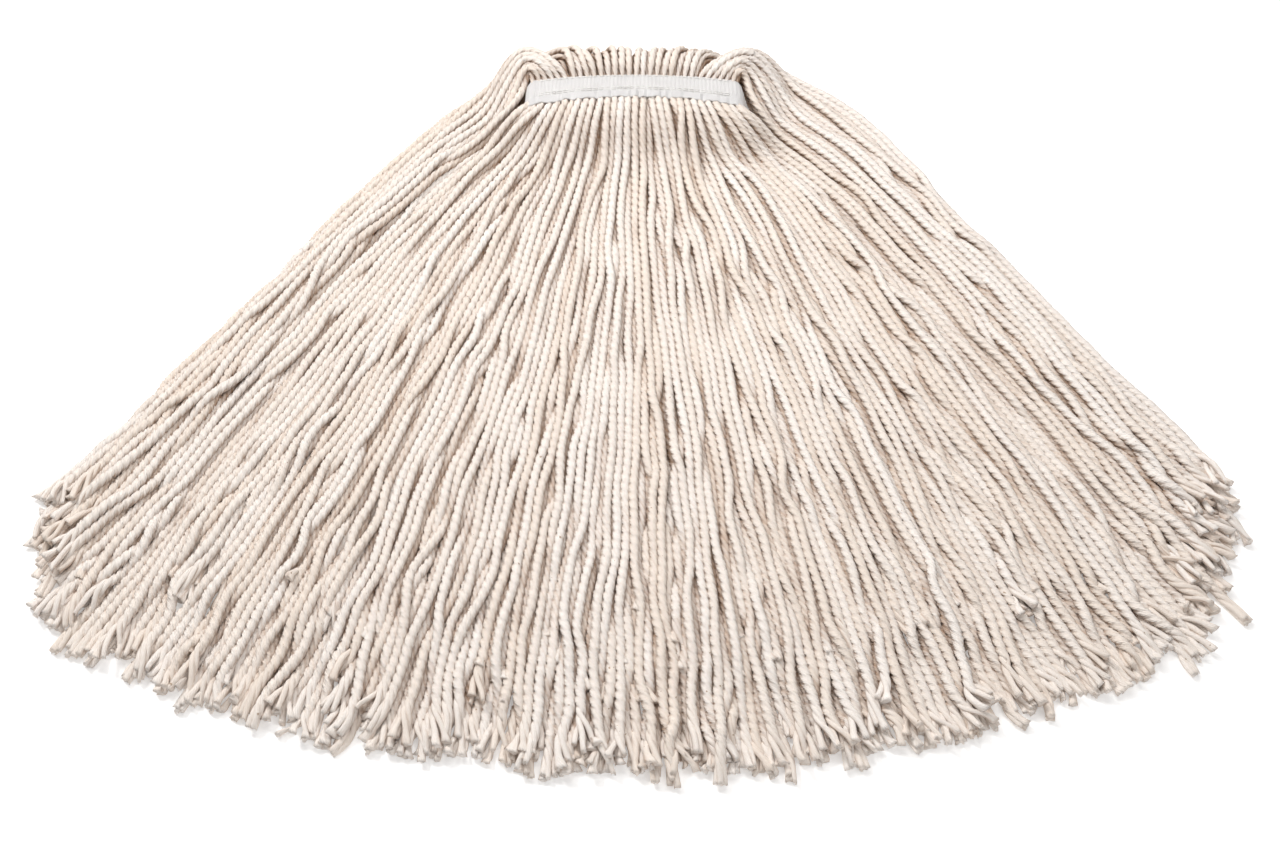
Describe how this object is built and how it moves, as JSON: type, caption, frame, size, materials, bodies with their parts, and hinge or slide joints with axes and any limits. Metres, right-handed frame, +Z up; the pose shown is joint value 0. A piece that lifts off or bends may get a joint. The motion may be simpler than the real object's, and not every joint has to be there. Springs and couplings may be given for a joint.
{
  "type": "string mop head",
  "caption": "Cut-end cotton string mop head lying fanned out: twisted yarns sewn into a narrow woven headband, folded over it and spread on the floor.",
  "frame": {"origin": "centre of the footprint, on the floor", "axes": "+X along the headband to the right as seen from the cut ends, +Y from the cut ends towards the headband, +Z up"},
  "size_m": [0.7272, 0.5408, 0.037],
  "materials": {
    "cotton_yarn": "matt twisted natural cotton",
    "headband_tape": "matt ribbed woven tape",
    "sewing_thread": "matt thread"
  },
  "bodies": {
    "back_skirt": {"back_bundle_01": "cotton_yarn", "back_bundle_02": "cotton_yarn", "back_bundle_03": "cotton_yarn", "back_bundle_04": "cotton_yarn", "back_bundle_05": "cotton_yarn", "back_bundle_06": "cotton_yarn", "back_bundle_07": "cotton_yarn", "back_bundle_08": "cotton_yarn", "back_bundle_09": "cotton_yarn", "back_bundle_10": "cotton_yarn", "back_bundle_11": "cotton_yarn", "back_bundle_12": "cotton_yarn"},
    "fold": {"curl_yarns_01": "cotton_yarn", "curl_yarns_02": "cotton_yarn", "curl_yarns_03": "cotton_yarn", "curl_yarns_04": "cotton_yarn", "curl_yarns_05": "cotton_yarn", "curl_yarns_06": "cotton_yarn", "curl_yarns_07": "cotton_yarn", "curl_yarns_08": "cotton_yarn", "curl_yarns_09": "cotton_yarn", "curl_yarns_10": "cotton_yarn", "curl_yarns_11": "cotton_yarn", "curl_yarns_12": "cotton_yarn"},
    "headband": {"band_yarns_01": "cotton_yarn", "band_yarns_02": "cotton_yarn", "band_yarns_03": "cotton_yarn", "band_yarns_04": "cotton_yarn", "band_yarns_05": "cotton_yarn", "band_yarns_06": "cotton_yarn", "band_yarns_07": "cotton_yarn", "band_yarns_08": "cotton_yarn", "band_yarns_09": "cotton_yarn", "band_yarns_10": "cotton_yarn", "band_yarns_11": "cotton_yarn", "band_yarns_12": "cotton_yarn", "headband_tape": "headband_tape", "near_row_needle_thread": "sewing_thread", "near_row_bobbin_thread": "sewing_thread", "inner_row_needle_thread": "sewing_thread", "inner_row_bobbin_thread": "sewing_thread", "far_row_needle_thread": "sewing_thread", "far_row_bobbin_thread": "sewing_thread"},
    "front_left": {"front_bundle_01": "cotton_yarn", "front_bundle_02": "cotton_yarn", "front_bundle_03": "cotton_yarn", "front_bundle_04": "cotton_yarn"},
    "front_middle": {"front_bundle_05": "cotton_yarn", "front_bundle_06": "cotton_yarn", "front_bundle_07": "cotton_yarn", "front_bundle_08": "cotton_yarn"},
    "front_right": {"front_bundle_09": "cotton_yarn", "front_bundle_10": "cotton_yarn", "front_bundle_11": "cotton_yarn", "front_bundle_12": "cotton_yarn"}
  },
  "joints": [
    {"name": "fold_lower", "type": "hinge", "parent": "back_skirt", "child": "fold", "pos_m": [0, 0.26066, 0.01], "axis": [-1, 0, 0], "range_deg": [0, 90]},
    {"name": "fold_upper", "type": "hinge", "parent": "fold", "child": "headband", "pos_m": [0, 0.26066, 0.027], "axis": [-1, 0, 0], "range_deg": [0, 90]},
    {"name": "front_left_lift", "type": "hinge", "parent": "headband", "child": "front_left", "pos_m": [0, 0.21531, 0.031], "axis": [1, 0, 0], "range_deg": [-120, 0]},
    {"name": "front_middle_lift", "type": "hinge", "parent": "headband", "child": "front_middle", "pos_m": [0, 0.21531, 0.031], "axis": [1, 0, 0], "range_deg": [-120, 0]},
    {"name": "front_right_lift", "type": "hinge", "parent": "headband", "child": "front_right", "pos_m": [0, 0.21531, 0.031], "axis": [1, 0, 0], "range_deg": [-120, 0]}
  ],
  "couplings": [
    {"joint": "fold_lower", "follows": "fold_upper", "ratio": 1}
  ]
}
